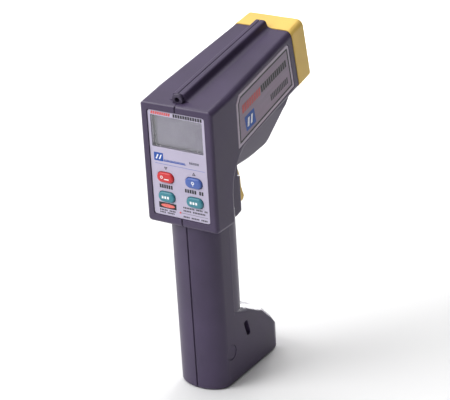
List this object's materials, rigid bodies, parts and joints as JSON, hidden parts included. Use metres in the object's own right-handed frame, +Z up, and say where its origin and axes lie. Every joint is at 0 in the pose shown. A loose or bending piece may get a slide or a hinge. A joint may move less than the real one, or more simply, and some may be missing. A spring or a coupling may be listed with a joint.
{
  "type": "infrared thermometer",
  "caption": "Pistol-shaped infrared thermometer with a yellow nose, display and soft keys at the back, sprung trigger, round grip and a stepped foot it stands on.",
  "frame": {"origin": "under the middle of the overall box, on the surface the foot stands on", "axes": "+Z up along the grip, +Y forward towards the lens, +X to the right of the person holding it"},
  "size_m": [0.05, 0.1188, 0.2101],
  "materials": {
    "body": "fine satin moulded ABS, purple-grey",
    "yellow": "satin moulded ABS, warm yellow",
    "black": "satin black moulding",
    "lens": "coated infrared lens, faint green-grey sheen",
    "dark_metal": "black anodised, matt",
    "steel": "plain zinc-plated steel",
    "brass": "turned brass",
    "red_window": "clear dark red acrylic",
    "panel": "screen-printed polyester sheet, semi-gloss",
    "clear": "clear acrylic window",
    "lcd": "grey reflective liquid-crystal cell",
    "white": "white moulded holder",
    "board": "green solder mask",
    "key_red": "moulded silicone key",
    "key_blue": "moulded silicone key",
    "key_teal": "moulded silicone key",
    "battery_skin": "lacquered steel jacket",
    "wire_red": "PVC insulation",
    "label": "brushed metallic printed label"
  },
  "bodies": {
    "case": {"left_housing": "body", "right_housing": "body", "nose_bumper": "yellow", "front_plate": "black", "lens": "lens", "lens_retainer": "black", "optics_tube": "dark_metal", "detector": "steel", "laser_module": "brass", "laser_window": "red_window", "sight_tube": "black", "keypad_panel": "panel", "lcd_window": "clear", "lcd_glass": "lcd", "lcd_frame": "white", "main_board": "board", "switch_1": "black", "switch_2": "black", "switch_3": "black", "switch_4": "black", "buzzer": "black", "trigger_pin": "steel", "trigger_spring": "steel", "trigger_switch": "black", "battery": "battery_skin", "battery_snap": "black", "wire_red": "wire_red", "wire_black": "black", "door_pin": "steel", "side_label_right": "label", "side_label_left": "label", "side_plug": "body", "tripod_insert": "brass", "screw_1": "steel", "screw_2": "steel", "screw_3": "steel", "screw_4": "steel", "screw_5": "steel", "screw_6": "steel"},
    "trigger": {"trigger": "yellow"},
    "button_red": {"button_red": "key_red"},
    "button_blue": {"button_blue": "key_blue"},
    "button_teal_left": {"button_teal_left": "key_teal"},
    "button_teal_right": {"button_teal_right": "key_teal"},
    "battery_door": {"battery_door": "body"}
  },
  "joints": [
    {"name": "trigger_pivot", "type": "hinge", "parent": "case", "child": "trigger", "pos_m": [0, -0.0175, 0.13], "axis": [-1, 0, 0], "range_deg": [0, 9], "stiffness_Nm_per_rad": 0.3, "springref_deg": -17.19, "deforming": ["trigger_spring"]},
    {"name": "battery_door_hinge", "type": "hinge", "parent": "case", "child": "battery_door", "pos_m": [0, -0.0183, 0.05], "axis": [-1, 0, 0], "range_deg": [0, 95]},
    {"name": "button_red_press", "type": "slide", "parent": "case", "child": "button_red", "axis": [0, 1, 0], "range_m": [0, 0.0008], "stiffness_N_per_m": 400, "springref_m": -0.0006},
    {"name": "button_blue_press", "type": "slide", "parent": "case", "child": "button_blue", "axis": [0, 1, 0], "range_m": [0, 0.0008], "stiffness_N_per_m": 400, "springref_m": -0.0006},
    {"name": "button_teal_left_press", "type": "slide", "parent": "case", "child": "button_teal_left", "axis": [0, 1, 0], "range_m": [0, 0.0008], "stiffness_N_per_m": 400, "springref_m": -0.0006},
    {"name": "button_teal_right_press", "type": "slide", "parent": "case", "child": "button_teal_right", "axis": [0, 1, 0], "range_m": [0, 0.0008], "stiffness_N_per_m": 400, "springref_m": -0.0006}
  ]
}
